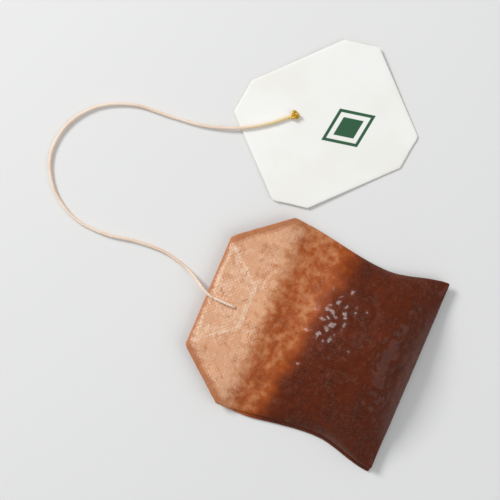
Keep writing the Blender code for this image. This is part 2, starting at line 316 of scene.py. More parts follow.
def places(item):
    """The places of an object's points, as an array."""
    found = np.zeros(len(item.data.vertices) * 3)
    item.data.vertices.foreach_get("co", found)
    return found.reshape(-1, 3)


def normals_of(item):
    """The way that each point of an object faces, as an array."""
    found = np.zeros(len(item.data.vertices) * 3)
    item.data.vertices.foreach_get("normal", found)
    return found.reshape(-1, 3)


def put(item, found):
    """Moves an object's points to the places of an array."""
    item.data.vertices.foreach_set("co", np.ascontiguousarray(found, dtype=np.float32).ravel())
    item.data.update()


def measured(item, scale=1.0):
    """An object's size in millimetres, for printing."""
    found = places(item)
    return np.round((found.max(0) - found.min(0)) / scale / MM, 2)


def thicken(item, thickness):
    """Gives a flat sheet its thickness, half of it to each side."""
    only(item)
    wall = item.modifiers.new("thickness", "SOLIDIFY")
    wall.thickness = thickness
    wall.offset = 0
    bpy.ops.object.modifier_apply(modifier=wall.name)


def flat_pattern(name, turn_radius):
    """Two sheets of paper, flat: x across, -y the way along the tube from the head's fold to the foot."""
    first = FOLD_DROP - math.pi * turn_radius - TIP_LENGTH
    last = BAG_LENGTH + SLACK
    rows = round(CELLS * (last - first) / (2 * SHOULDER_HALF))
    bpy.ops.object.select_all(action="DESELECT")
    bpy.ops.mesh.primitive_grid_add(x_subdivisions=CELLS, y_subdivisions=rows, size=1)
    item = bpy.context.object
    item.name = name
    bpy.ops.object.mode_set(mode="EDIT")
    bpy.ops.transform.resize(value=(2 * SHOULDER_HALF, last - first, 1))
    bpy.ops.transform.translate(value=(0, -(last + first) / 2, 0))
    for side in (-1, 1):
        bpy.ops.mesh.select_all(action="SELECT")
        bpy.ops.mesh.bisect(plane_co=(side * HEAD_HALF, 0, 0), plane_no=(side, TAPER, 0), clear_outer=True)
    bpy.ops.object.mode_set(mode="OBJECT")
    thicken(item, EMPTY_TUBE)
    return item


lower = flat_pattern("lower_chamber", LOWER_TURN)
upper = flat_pattern("upper_chamber", UPPER_TURN)
lower_flat = places(lower)
upper_flat = places(upper)
print("flat patterns", measured(lower)[:2], "and", measured(upper)[:2], "mm")

# %% [markdown]
# The paper keeps what it knows about its flat state: a UV map in millimetres, for the fibres and the
# embossed dots that follow the sheet, and three values for each point, for the colour. These are how much
# leaf lies behind the paper, how close the point is to the sheet's edge, and whether the turned-under tip
# lies below.

# %% Values that the paper remembers
STAIN_SCALE = 130
SOAKED_FROM = 10.5 * MM
SOAKED_TO = 15.5 * MM
SOAKED_SHARE = 0.26
LEAVES_BORDER = 24.6 * MM
BORDER_SLANT = 2.6 * MM
BORDER_WANDER = 1.8 * MM
DARK_FROM = -4.5 * MM
DARK_TO = 2.6 * MM
RIM_WIDTH = 2.4 * MM
RIM_WANDER = 0.5 * MM
TIP_BORDER = 0.3 * MM
TIP_SEEN = (0.6 * MM, 1.4 * MM, 8.5 * MM, 9.2 * MM)


def keep_value(item, name, values):
    """Keeps one value for each point of an object under a name, for its material."""
    kept = item.data.attributes.new(name, "FLOAT", "POINT")
    kept.data.foreach_set("value", np.asarray(values, dtype=np.float32))


def keep_flat_map(item, flat, name):
    """Makes an object's UV map say where each point lies on the flat sheet, in millimetres."""
    flat_map = item.data.uv_layers[0]
    flat_map.name = name
    point = np.zeros(len(item.data.loops), dtype=np.int32)
    item.data.loops.foreach_get("vertex_index", point)
    flat_map.data.foreach_set("uv", (flat[point, :2] / MM).astype(np.float32).ravel())


def remember(item, flat, turn_radius, seed):
    """Writes the UV map and the three values from the flat pattern."""
    across, drop = flat[:, 0], -flat[:, 1]
    wander = np.array([noise.fractal(Vector((x * STAIN_SCALE + seed, y * STAIN_SCALE, seed)), 1.0, 2.0, 3)
                       for x, y in flat[:, :2]])
    border = LEAVES_BORDER + BORDER_SLANT * across / SHOULDER_HALF + BORDER_WANDER * wander
    soaked = soft_step(SOAKED_FROM, SOAKED_TO, drop)
    dark = soft_step(DARK_FROM, DARK_TO, drop - border)
    to_taper = (HEAD_HALF + TAPER * drop - np.abs(across)) / math.hypot(1, TAPER)
    to_edge = np.minimum(SHOULDER_HALF - np.abs(across), to_taper)
    to_edge = np.minimum(to_edge, np.abs(drop - FOLD_DROP + math.pi * turn_radius / 2))
    to_edge += RIM_WANDER * wander
    tip_half = HEAD_HALF - TAPER * (drop - 2 * FOLD_DROP + math.pi * turn_radius)
    over_tip = soft_step(-TIP_BORDER, TIP_BORDER, tip_half - np.abs(across))
    over_tip *= soft_step(*TIP_SEEN[:2], drop) * (1 - soft_step(*TIP_SEEN[2:], drop))
    keep_value(item, "leaves", SOAKED_SHARE * soaked + (1 - SOAKED_SHARE) * dark)
    keep_value(item, "rim", np.clip(1 - to_edge / RIM_WIDTH, 0, 1))
    keep_value(item, "layers", over_tip)
    keep_flat_map(item, flat, "pattern")


remember(lower, lower_flat, LOWER_TURN, seed=7.0)
remember(upper, upper_flat, UPPER_TURN, seed=19.0)
print("the paper remembers", [kept.name for kept in lower.data.attributes if kept.data_type == "FLOAT"])

# %% [markdown]
# The simulation runs at ten times the size, because Blender's cloth is tuned for cushions and not for
# things of a few centimetres. The start shape already has its tip turned under and is as thick as the
# leaves make it, with some slack in its length eased in. The head, the side edges and the foot's edge are
# held where they are. Pressure stands for the leaves: it is strongest near the foot, and a target volume
# keeps the chamber from swelling like a balloon. The flat pattern is the paper's rest shape, so the slack
# comes back as creases.

# %% Blow up the lower chamber
LARGE = 10.0
FRAMES = 18
VOLUME_GAIN = 1.12
ON_EDGE = 0.1 * MM
HELD_TO = 8.6 * MM
FREE_FROM = 11 * MM
WEAK_PRESSURE = 0.2
WEAK_FROM = 13 * MM
STRONG_FROM = 18 * MM
STRONG_TO = 32 * MM


def folded(flat, turn_radius, level, lift):
    """A pattern's points with its tip turned under and its top sheet pushed up by the leaves."""
    across, way, up = flat[:, 0], -flat[:, 1], flat[:, 2]
    ease = (BAG_LENGTH - HEAD_PART) / (BAG_LENGTH + SLACK - HEAD_PART)
    drop = np.where(way > HEAD_PART, HEAD_PART + (way - HEAD_PART) * ease, way)
    height = level(drop) + up + (up > 0) * lift * swell(across, drop)
    past = way - FOLD_DROP
    angle = np.clip(-past / turn_radius, 0, math.pi)
    beyond_turn = np.maximum(-past - math.pi * turn_radius, 0)
    turned_drop = FOLD_DROP - (turn_radius + up) * np.sin(angle) + beyond_turn
    turned_height = STACK_MIDDLE + (turn_radius + up) * np.cos(angle)
    drop = np.where(past < 0, turned_drop, drop)
    height = np.where(past < 0, turned_height, height)
    return np.stack([across * side_pull(drop), HEAD_Y - drop, height], axis=1)


def group(item, name, weights):
    """A vertex group from an array of weights."""
    made = item.vertex_groups.new(name=name)
    for index, weight in enumerate(weights):
        if weight > 0:
            made.add([index], float(weight), "REPLACE")
    return name


def volume_inside(item):
    """The volume that an object's closed surface holds."""
    solid = bmesh.new()
    solid.from_mesh(item.data)
    held = solid.calc_volume()
    solid.free()
    return held


def held_points(item, flat):
    """A vertex group of what is held: the head, the side edges and the foot's edge."""
    way = -flat[:, 1]
    at_foot = way > BAG_LENGTH + SLACK - ON_EDGE
    at_side = np.abs(flat[:, 0]) > SHOULDER_HALF - ON_EDGE
    return group(item, "held", np.maximum(1 - soft_step(HELD_TO, FREE_FROM, way), at_foot | at_side))


def pressed_points(item, flat):
    """A vertex group of how hard the leaves press."""
    way = -flat[:, 1]
    weak = soft_step(HELD_TO, WEAK_FROM, way)
    strong = soft_step(STRONG_FROM, STRONG_TO, way)
    return group(item, "press", WEAK_PRESSURE * weak + (1 - WEAK_PRESSURE) * strong)


def paper_cloth(item, flat, rest, target_volume):
    """A cloth modifier for wet paper that is blown up to a volume."""
    only(item)
    bpy.ops.object.modifier_add(type="CLOTH")
    cloth = item.modifiers[-1]
    wet = cloth.settings
    wet.rest_shape_key = rest
    wet.quality = 6
    wet.mass = 0.2
    wet.tension_stiffness = 30
    wet.compression_stiffness = 30
    wet.shear_stiffness = 10
    wet.bending_stiffness = 0.05
    wet.air_damping = 1
    wet.use_pressure = True
    wet.use_pressure_volume = True
    wet.uniform_pressure_force = 0.3
    wet.pressure_factor = 200
    wet.target_volume = target_volume
    wet.vertex_group_pressure = pressed_points(item, flat)
    wet.vertex_group_mass = held_points(item, flat)
    wet.effector_weights.gravity = 0
    cloth.collision_settings.distance_min = 0.1 * MM * LARGE
    cloth.collision_settings.use_self_collision = False
    cloth.point_cache.frame_end = FRAMES
    return cloth


def inflate(item, flat, start):
    """Runs the cloth from the start shape and keeps the result, still at the large size."""
    put(item, start * LARGE)
    target_volume = volume_inside(item) * VOLUME_GAIN
    item.shape_key_add(name="start")
    rest = item.shape_key_add(name="flat")
    rest.data.foreach_set("co", (flat * LARGE).astype(np.float32).ravel())
    cloth = paper_cloth(item, flat, rest, target_volume)
    for step in range(1, FRAMES + 1):
        bpy.context.scene.frame_set(step)
    shaped = item.evaluated_get(bpy.context.evaluated_depsgraph_get())
    result = np.zeros(len(shaped.data.vertices) * 3)
    shaped.data.vertices.foreach_get("co", result)
    item.modifiers.remove(cloth)
    item.shape_key_clear()
    item.vertex_groups.clear()
    put(item, result.reshape(-1, 3))


def collider(item):
    """Lets the cloth lie on an object."""
    item.modifiers.new("collision", "COLLISION")
    item.collision.thickness_outer = 0.2 * MM * LARGE


bpy.ops.object.select_all(action="DESELECT")
bpy.ops.mesh.primitive_plane_add(size=2)
bench = bpy.context.object
collider(bench)
upper.hide_viewport = True
inflate(lower, lower_flat, folded(lower_flat, LOWER_TURN, lower_level, LOWER_LIFT))
upper.hide_viewport = False
bpy.data.objects.remove(bench)
print("lower chamber", measured(lower, LARGE), "mm")

# %% [markdown]
# The upper chamber starts on top of the lower one, as thick as its own leaves make it, and is lifted where
# it would pass through. The lower chamber stays as it is while the upper one is blown up against it. It is
# moved a little to the side first, so that its edge shows beside the upper one's, as on a real folded bag.

# %% The upper chamber, on the lower one
SHIFT_FROM = 9 * MM
SHIFT_TO = 20 * MM
LAID_GAP = 0.3 * MM


def shifted(chamber, shift):
    """Moves a chamber to the side, except at the head, where the two are held together."""
    body = places(chamber)
    drop = HEAD_Y - body[:, 1] / LARGE
    body[:, 0] += shift * LARGE * soft_step(SHIFT_FROM, SHIFT_TO, drop)
    put(chamber, body)


def lying_on(item, start, flat):
    """Lifts the start shape, where it needs it, to clear the object below it."""
    raised = start.copy()
    for index, place in enumerate(start):
        if HEAD_Y - place[1] < HEAD_PART:
            continue
        above = Vector((place[0] * LARGE, place[1] * LARGE, 1))
        hit, spot, _, _ = item.ray_cast(above, Vector((0, 0, -1)))
        if hit:
            raised[index, 2] = max(place[2], spot.z / LARGE + LAID_GAP + max(flat[index, 2], 0))
    return raised


shifted(lower, -LOWER_SHIFT)
collider(lower)
upper_start = folded(upper_flat, UPPER_TURN, upper_level, UPPER_LIFT)
upper_start[:, 2] += LOWER_LIFT * swell(upper_flat[:, 0], HEAD_Y - upper_start[:, 1])
inflate(upper, upper_flat, lying_on(lower, upper_start, upper_flat))
lower.modifiers.clear()
print("upper chamber", measured(upper, LARGE), "mm")

# %% [markdown]
# At the foot the one sheet runs from the upper chamber into a pleat between the two and out again to the
# lower chamber. A narrow strip closes that gap: a grid that is bent into the pleat, with its long edges
# inside the two chambers' foot edges.

# %% The pleat at the foot
PLEAT_NARROWER = 1.2 * MM
PLEAT_DEPTH = 2.5 * MM
PLEAT_SET_IN = 0.6 * MM
PLEAT_OVERLAP = 0.2 * MM
ONE_SHEET = 0.1 * MM
PLEAT_LEAVES = 0.8

for chamber in (lower, upper):
    put(chamber, places(chamber) / LARGE)


def foot_edge(chamber, flat):
    """The points of a chamber's foot edge, in order across the bag."""
    points = places(chamber)[flat[:, 1] < flat[:, 1].min() + ON_EDGE]
    return points[np.argsort(points[:, 0])]


lower_edge = foot_edge(lower, lower_flat)
upper_edge = foot_edge(upper, upper_flat)
bpy.ops.object.select_all(action="DESELECT")
bpy.ops.mesh.primitive_grid_add(x_subdivisions=40, y_subdivisions=6, size=2)
pleat = bpy.context.object
pleat.name = "pleat"
strip = places(pleat)
share = (1 - strip[:, 1]) / 2
side = strip[:, 0] * (SHOULDER_HALF - PLEAT_NARROWER)
low = np.interp(side, lower_edge[:, 0], lower_edge[:, 2]) + PLEAT_OVERLAP
high = np.interp(side, upper_edge[:, 0], upper_edge[:, 2]) - PLEAT_OVERLAP
inward = PLEAT_DEPTH * (1 - np.abs(2 * share - 1)) + PLEAT_SET_IN
put(pleat, np.stack([side, bag_low.y + inward, low + (high - low) * share], axis=1))
thicken(pleat, ONE_SHEET)
keep_value(pleat, "leaves", np.full(len(pleat.data.vertices), PLEAT_LEAVES))
pleat.data.uv_layers[0].name = "pattern"
print("pleat", measured(pleat), "mm")

# %% [markdown]
# ## The leaves
# The swollen leaves fill what the paper leaves free, so each mass is the inside of its own chamber: a
# copy of the chamber, cut off where the leaves end, closed and drawn in. Where the chamber is thin, the
# surface moves by only a part of the way to the other side, so that it never turns inside out.

# %% Tea leaves inside the chambers
LEAVES_START = 22 * MM
LEAVES_END = BAG_LENGTH - 3 * MM
LEAVES_ACROSS = 0.87
LEAF_GAP = 0.45 * MM
LEAF_LUMP = 0.25 * MM
LEAF_SCALE = 900
THIN_SHARE = 0.4
BARELY = 0.005 * MM


def draw_in(mass):
    """Moves each point of a closed mass inwards, by an uneven gap or a share of the thickness there."""
    body = places(mass)
    bpy.context.view_layer.update()
    for index, normal in enumerate(normals_of(mass)):
        here, inward = Vector(body[index]), -Vector(normal)
        _, other_side, _, _ = mass.ray_cast(here + inward * BARELY, inward)
        gap = LEAF_GAP + LEAF_LUMP * abs(noise.noise(here * LEAF_SCALE))
        body[index] += np.array(inward) * min(gap, THIN_SHARE * (other_side - here).length)
    body[:, 0] *= LEAVES_ACROSS
    put(mass, body)


def leaf_mass(chamber, name, node):
    """The inside of a chamber from the cut to the foot, lumpy and drawn in."""
    only(chamber)
    bpy.ops.object.duplicate()
    mass = bpy.context.object
    mass.name = name
    bpy.ops.object.mode_set(mode="EDIT")
    for distance, way in ((LEAVES_START, 1), (LEAVES_END, -1)):
        bpy.ops.mesh.select_all(action="SELECT")
        bpy.ops.mesh.bisect(plane_co=(0, HEAD_Y - distance, 0), plane_no=(0, way, 0),
                            clear_outer=True, use_fill=True)
    bpy.ops.object.mode_set(mode="OBJECT")
    draw_in(mass)
    bpy.ops.object.shade_smooth()
    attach(mass, "root")
    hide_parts(node)
    return mass


lower_leaves = leaf_mass(lower, "leaves_lower", "tea_leaves_lower")
upper_leaves = leaf_mass(upper, "leaves_upper", "tea_leaves_upper")
print("leaf masses", measured(lower_leaves), "and", measured(upper_leaves), "mm")

# %% [markdown]
# The two chambers and the pleat are one piece of paper on the real bag, so they are joined into one
# object. One subdivision rounds the cells of the simulation, and gives the lumps of the next step enough
# points.

# %% One piece of paper
only(lower)
upper.select_set(True)
pleat.select_set(True)
bpy.ops.object.join()
paper = lower
paper.name = "paper_bag"
smoother = paper.modifiers.new("smoother", "SUBSURF")
smoother.levels = smoother.render_levels = 1
bpy.ops.object.modifier_apply(modifier=smoother.name)
bpy.ops.object.shade_smooth()
print("paper", len(paper.data.vertices), "points")

# %% [markdown]
# Wet paper clings to what lies under it. The leaves push small lumps through it, less so near the edges,
# where there are few of them. The flat head has soft creases along the bag that all its layers share, and
# the two needle holes draw it down.

# %% Lumps, creases and needle dents
STITCH_X = -1.0 * MM
STITCH_DROP = 2.0 * MM
STITCH_LENGTH = 4.3 * MM
STITCH_MIDDLE = STITCH_DROP + STITCH_LENGTH / 2
LUMP_SCALES = ((620, 1.0), (1100, 0.4), (190, 1.3))
LUMP_HEIGHT = 0.22 * MM
EDGE_LUMPS = 0.15
LUMPY_LEAVES = (0.3, 0.9)
LUMPY_FROM_SIDE = 0.3
LUMPY_FROM_FOOT = 5 * MM
SOFT_CREASE = 0.20 * MM
SHARP_CREASE = 0.16 * MM
SHARPNESS = 6
CREASES_END = (16 * MM, 26 * MM)
STITCH_CALM = 4 * MM
DENT_DEPTH = 0.22 * MM
DENT_WIDTH = 0.8 * MM
LOWEST_PAPER = 0.03 * MM


def lumps_at(points):
    """Noise of three sizes, about 0 in the middle."""
    return sum(amount * np.array([noise.noise(Vector(point) * scale) for point in points])
               for scale, amount in LUMP_SCALES)


def creases_at(points, across, along, seed):
    """Noise that is drawn out along the bag and doesn't change with height."""
    return np.array([noise.noise(Vector((x * across, y * along, seed))) for x, y, _ in points])


sheet = places(paper)
leaves = np.zeros(len(sheet))
paper.data.attributes["leaves"].data.foreach_get("value", leaves)
drop = HEAD_Y - sheet[:, 1]
from_side = 1 - np.abs(sheet[:, 0]) / (SHOULDER_HALF * side_pull(drop))
fullness = soft_step(0, LUMPY_FROM_SIDE, from_side) * soft_step(0, LUMPY_FROM_FOOT, BAG_LENGTH - drop)
lumps = lumps_at(sheet) * soft_step(*LUMPY_LEAVES, leaves) * (EDGE_LUMPS + (1 - EDGE_LUMPS) * fullness)
sheet = sheet + normals_of(paper) * (LUMP_HEIGHT * lumps)[:, None]

drop = HEAD_Y - sheet[:, 1]
soft = creases_at(sheet, across=330, along=60, seed=4.0)
sharp = np.clip(1 - SHARPNESS * np.abs(creases_at(sheet, across=210, along=45, seed=9.0)), 0, 1)
from_stitch = np.hypot(sheet[:, 0] - STITCH_X, STITCH_MIDDLE - drop)
loose = (1 - np.exp(-(from_stitch / STITCH_CALM) ** 2)) * (1 - soft_step(*CREASES_END, drop))
sheet[:, 2] += (SOFT_CREASE * soft + SHARP_CREASE * sharp) * loose
for hole_drop in (STITCH_DROP, STITCH_DROP + STITCH_LENGTH):
    away = np.hypot(sheet[:, 0] - STITCH_X, hole_drop - drop)
    on_top = sheet[:, 2] > STACK_MIDDLE
    sheet[:, 2] -= DENT_DEPTH * np.exp(-(away / DENT_WIDTH) ** 2) * on_top
sheet[:, 2] = np.maximum(sheet[:, 2], LOWEST_PAPER)
put(paper, sheet)
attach(paper, "root")
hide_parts("filter_bag")
print("paper bag", measured(paper), "mm")

# %% [markdown]
# ## The thread
# Cotton thread is three plies twisted together. Each ply here is a curve with a round section that winds
# about the thread's middle line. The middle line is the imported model's own route: from the stitch over the
# head's edge, down on the table, in an open arch, and up on to the tag. Its points are in millimetres,
# with y counted from the head's edge.

# %% The thread's route and its plies
THREAD = 0.70 * MM
PLIES = 3
PLY = 0.195 * MM
TWIST = 1.9 * MM
THREAD_STEP = 0.16 * MM
NEARLY_UP = (0.02, 0.01, 1.0)
SPANS = 20
ROUTE = [(-1.0, -1.75, 2.8), (-0.85, -0.9, 3.2), (-0.3, 0.7, 3.0), (0.8, 2.6, 2.1), (2.1, 5.2, 0.8),
         (3.1, 8.4, 0.45), (3.7, 12.4, 0.45), (3.3, 18.0, 0.45), (2.2, 24.5, 0.45), (2.8, 31.5, 0.45),
         (6.6, 37.6, 0.45), (12.8, 41.0, 0.45), (19.8, 40.4, 0.45), (25.8, 36.2, 0.45), (29.2, 29.4, 0.45),
         (30.0, 21.6, 0.45), (31.0, 14.0, 0.5), (33.4, 7.2, 0.8), (36.6, 2.0, 0.72), (39.85, -1.75, 0.72)]


def run_along(points):
    """The way from the first point to each point of a line."""
    return np.concatenate([[0], np.cumsum(np.linalg.norm(np.diff(points, axis=0), axis=1))])


def smooth_route(points, step, closed=False):
    """Evenly spaced points along a smooth curve through the given ones, and its length."""
    points = [np.array(point, dtype=float) for point in points]
    if closed:
        ends = [points[-1], *points, points[0], points[1]]
    else:
        ends = [points[0] * 2 - points[1], *points, points[-1] * 2 - points[-2]]
    fine = []
    for before, first, second, after in zip(ends, ends[1:], ends[2:], ends[3:]):
        for t in np.arange(SPANS) / SPANS:
            fine.append(0.5 * (2 * first + (second - before) * t
                               + (2 * before - 5 * first + 4 * second - after) * t ** 2
                               + (3 * first - before - 3 * second + after) * t ** 3))
    fine = np.array([*fine, ends[-2]])
    run = run_along(fine)
    at = np.linspace(0, run[-1], max(3, round(run[-1] / step)))
    return np.stack([np.interp(at, run, fine[:, axis]) for axis in range(3)], axis=1), run[-1]


def round_curve(name, line, radius, resolution, closed):
    """A curve with a round section along the points of a line."""
    curve = bpy.data.curves.new(name, "CURVE")
    curve.dimensions = "3D"
    curve.bevel_depth = radius
    curve.bevel_resolution = resolution
    curve.use_fill_caps = not closed
    spline = curve.splines.new("POLY")
    spline.points.add(len(line) - 1)
    for point, place in zip(spline.points, line):
        point.co = (*place, 1)
    spline.use_cyclic_u = closed
    made = bpy.data.objects.new(name, curve)
    bpy.context.scene.collection.objects.link(made)
    return made


def twisted(name, path, closed=False):
    """Three plies about a path, as one mesh."""
    along = np.gradient(path, axis=0)
    along /= np.linalg.norm(along, axis=1)[:, None]
    aside = np.cross(along, NEARLY_UP)
    aside /= np.linalg.norm(aside, axis=1)[:, None]
    above = np.cross(aside, along)
    run = run_along(path)
    turns = round(run[-1] / TWIST)
    plies = []
    for ply in range(PLIES):
        angle = 2 * math.pi * (run / run[-1] * turns + ply / PLIES)
        offset = (aside * np.cos(angle)[:, None] + above * np.sin(angle)[:, None]) * (THREAD / 2 - PLY)
        line = (path + offset)[:-1] if closed else path + offset
        plies.append(round_curve(name, line, PLY, 1, closed))
    only(plies[0])
    for ply in plies:
        ply.select_set(True)
    bpy.ops.object.convert(target="MESH")
    bpy.ops.object.join()
    bpy.ops.object.shade_smooth()
    plies[0].name = name
    return plies[0]


route = [(x * MM, HEAD_Y + y * MM, z * MM) for x, y, z in ROUTE]
thread_path, thread_length = smooth_route(route, THREAD_STEP)
thread = twisted("thread", thread_path)
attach(thread, "root")
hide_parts("string")
print("thread", round(thread_length / MM, 1), "mm long")

# %% [markdown]
# The same thread holds the folded head shut. It goes down through one needle hole and up through the
# other, so the stitch is a closed loop with rounded corners, made of the same three plies.

# %% The stitch through the head
STITCH_TOP = 3.22 * MM
STITCH_BELOW = 0.75 * MM
STITCH_CORNER = 0.5 * MM
STITCH_STEP = 0.14 * MM

near_hole = HEAD_Y - STITCH_DROP
far_hole = near_hole - STITCH_LENGTH
loop = [(near_hole - STITCH_CORNER, STITCH_TOP), (near_hole, STITCH_TOP - STITCH_CORNER),
        (near_hole, STITCH_BELOW + STITCH_CORNER), (near_hole - STITCH_CORNER, STITCH_BELOW),
        (far_hole + STITCH_CORNER, STITCH_BELOW), (far_hole, STITCH_BELOW + STITCH_CORNER),
        (far_hole, STITCH_TOP - STITCH_CORNER), (far_hole + STITCH_CORNER, STITCH_TOP)]
stitch_path, stitch_length = smooth_route([(STITCH_X, y, z) for y, z in loop], STITCH_STEP, closed=True)
stitch = twisted("stitch", stitch_path, closed=True)
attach(stitch, "root")
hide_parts("string_stitch")
print("stitch", round(stitch_length / MM, 1), "mm round")

# %% [markdown]
# ## The knot
# The thread ends in a small golden knot. It is a trefoil: one closed line that passes over and under
# itself, with a short shank down through the card's hole. Thread, stitch and knot are one cord.

# %% The golden knot
knot_low, knot_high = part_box("string_knot")
KNOT_X = (knot_low.x + knot_high.x) / 2
KNOT_Y = (knot_low.y + knot_high.y) / 2
CARD_THICK = 0.30 * MM
KNOT_THREAD = 0.30 * MM
KNOT_SPREAD = 0.26 * MM
KNOT_RISE = 0.27 * MM
KNOT_POINTS = 48
SHANK_LENGTH = 0.6 * MM
SHANK_MIDDLE = 0.36 * MM

trefoil = [(KNOT_X + KNOT_SPREAD * (math.sin(t) + 2 * math.sin(2 * t)),
            KNOT_Y + KNOT_SPREAD * (math.cos(t) - 2 * math.cos(2 * t)),
            CARD_THICK + KNOT_THREAD + KNOT_RISE * (1 - math.sin(3 * t)))
           for t in np.linspace(0, 2 * math.pi, KNOT_POINTS + 1)[:-1]]
knot = round_curve("knot", trefoil, KNOT_THREAD, 2, True)
only(knot)
bpy.ops.object.convert(target="MESH")
bpy.ops.object.select_all(action="DESELECT")
bpy.ops.mesh.primitive_cylinder_add(vertices=12, radius=THREAD / 2, depth=SHANK_LENGTH,
                                    location=(KNOT_X, KNOT_Y, SHANK_MIDDLE))
bpy.ops.object.transform_apply(location=True, rotation=False, scale=False)
knot.select_set(True)
bpy.context.view_layer.objects.active = knot
bpy.ops.object.join()
bpy.ops.object.shade_smooth()
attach(knot, "root")
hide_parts("string_knot")
print("knot", measured(knot), "mm")

# %% [markdown]
# ## The tag
# The tag is a flat card with four cut corners. It is a grid, so that it can warp a little from the damp,
# with the corners cut off by bisecting and the card's thickness added last.

# %% The card tag
CARD_WIDTH = 33.0 * MM
CARD_HEIGHT = 29.0 * MM
CUT_ACROSS = 6.0 * MM
CUT_DOWN = 4.5 * MM
CARD_TURN = math.radians(-43.3)
KNOT_LEFT = 5.2 * MM
KNOT_DOWN = 10.3 * MM
WORN_EDGE = 0.06 * MM

bpy.ops.object.select_all(action="DESELECT")
bpy.ops.mesh.primitive_grid_add(x_subdivisions=44, y_subdivisions=38, size=1)
card = bpy.context.object
card.name = "card"
bpy.ops.object.mode_set(mode="EDIT")
bpy.ops.transform.resize(value=(CARD_WIDTH, CARD_HEIGHT, 1))
for right_side in (-1, 1):
    for top_side in (-1, 1):
        bpy.ops.mesh.select_all(action="SELECT")
        corner = (right_side * CARD_WIDTH / 2, top_side * (CARD_HEIGHT / 2 - CUT_DOWN), 0)
        outward = Vector((right_side * CUT_DOWN, top_side * CUT_ACROSS, 0)).normalized()
        bpy.ops.mesh.bisect(plane_co=corner, plane_no=outward, clear_outer=True)
bpy.ops.object.mode_set(mode="OBJECT")
keep_flat_map(card, places(card), "card_mm")
thicken(card, CARD_THICK)
worn = card.modifiers.new("worn edge", "BEVEL")
worn.width = WORN_EDGE
worn.segments = 2
worn.limit_method = "ANGLE"
bpy.ops.object.modifier_apply(modifier=worn.name)
print("card", measured(card), "mm")

# %% [markdown]
# The card is turned about the knot to where it lies. Two opposite corners have lifted a little from the
# table, which gives it a soft shadow and keeps it from looking like a cut-out.

# %% Warp the card and lay it down
WARP = 0.55 * MM
SECOND_WARP = 0.7
LIFTED = (0.35, 2.0)
SECOND_LIFTED = (0.5, 2.0)
ROUNDED_BELOW = math.radians(40)

body = places(card)
to_corner = body[:, 0] / (CARD_WIDTH / 2) + body[:, 1] / (CARD_HEIGHT / 2)
warp = WARP * (soft_step(*LIFTED, to_corner) + SECOND_WARP * soft_step(*SECOND_LIFTED, -to_corner))
right = np.array((math.cos(CARD_TURN), math.sin(CARD_TURN)))
up = np.array((-math.sin(CARD_TURN), math.cos(CARD_TURN)))
middle = np.array((KNOT_X, KNOT_Y)) + right * KNOT_LEFT + up * (KNOT_DOWN - CARD_HEIGHT / 2)
level = middle + body[:, :1] * right + body[:, 1:2] * up
put(card, np.stack([level[:, 0], level[:, 1], body[:, 2] + CARD_THICK / 2 + warp], axis=1))
bpy.ops.object.shade_smooth_by_angle(angle=ROUNDED_BELOW)
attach(card, "root")
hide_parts("tag")
print("card's corners lifted by up to", round(float(warp.max()) / MM, 2), "mm")

# %% [markdown]
# ## Wet filter paper
# The paper is thin, so its colour is mostly that of what lies behind it: pale and pinkish over the empty
# head, reddish where tea has soaked in, and dark brown over the leaves. The value that each point carries
# drives that ramp, and noise makes its border ragged. Fibres, and the fine dots that hold the layers
# together, follow the sheet by its UV map. On the bare paper they are mixed towards a near-white colour that
# is partly painted highlight. A thin clear coat is the film of water.

# %% The paper's finish
DOT_PITCH = 0.85
DOT_TURN = 2 * math.pi / DOT_PITCH
FIBRE_ANGLES = (0.35, 1.25, 2.3)
FIBRE_STRETCH = (0.35, 4.2, 1)


def kept_value(tree, name):
    """A value that each point of the piece carries."""
    return add_node(tree, "ShaderNodeAttribute", {"attribute_name": name}).outputs["Fac"]


def tea_colour(tree, leaves, broad, clumps):
    """Colour by how much leaf lies behind the paper, with a ragged border."""
    ragged = math_node(tree, "ADD", centred(tree, broad, 0.42), centred(tree, clumps, 0.40))
    behind = math_node(tree, "ADD", math_node(tree, "MULTIPLY", leaves, 0.88), ragged, clamp=True)
    return ramp(tree, behind, [(0.0, linear(222, 166, 128)), (0.12, linear(196, 129, 86)),
                               (0.26, linear(162, 79, 30)), (0.46, linear(128, 55, 15)),
                               (0.70, linear(100, 38, 9)), (1.0, linear(74, 25, 4))])


def long_fibres(tree, sheet_map):
    """The brightest of three stretched noises, each turned another way on the sheet."""
    fibres = None
    for angle in FIBRE_ANGLES:
        turned_map = add_node(tree, "ShaderNodeMapping", i0=sheet_map, Rotation=(0, 0, angle),
                              Scale=FIBRE_STRETCH)
        strand = noise_node(tree, turned_map.outputs["Vector"], 1.3, 3.0, 0.6)
        fibres = strand if fibres is None else math_node(tree, "MAXIMUM", fibres, strand)
    return fibres


def embossed_dots(tree, sheet_map):
    """Rows of soft dots on the sheet, up and down in turn."""
    split = add_node(tree, "ShaderNodeSeparateXYZ", i0=sheet_map)
    across = math_node(tree, "SINE", math_node(tree, "MULTIPLY", split.outputs["X"], DOT_TURN))
    along = math_node(tree, "SINE", math_node(tree, "MULTIPLY", split.outputs["Y"], DOT_TURN))
    return math_node(tree, "MULTIPLY", across, along)


def pale_specks_and_painted_highlight(tree, bare, layers, fibres, dots, broad, fine):
    """Where the paper shows paler: fibres, dots, patches and the tip's border, partly real and partly painted
    highlight.
    """
    light = math_node(tree, "MULTIPLY_ADD", fibres, 2.6, -1.55)
    border = math_node(tree, "MULTIPLY", math_node(tree, "MULTIPLY", layers, 2.0),
                       math_node(tree, "SUBTRACT", 1.0, layers))
    over_tip = math_node(tree, "ADD", math_node(tree, "MULTIPLY", layers, 0.24), border)
    speck_and_highlight = math_node(tree, "ADD", light, centred(tree, broad, 1.6, middle=0.45))
    for more in (math_node(tree, "MULTIPLY", dots, 0.22), over_tip, centred(tree, fine, 1.8)):
        speck_and_highlight = math_node(tree, "ADD", speck_and_highlight, more)
    return math_node(tree, "MULTIPLY", speck_and_highlight, math_node(tree, "MULTIPLY_ADD", bare, 0.82, 0.06), clamp=True)


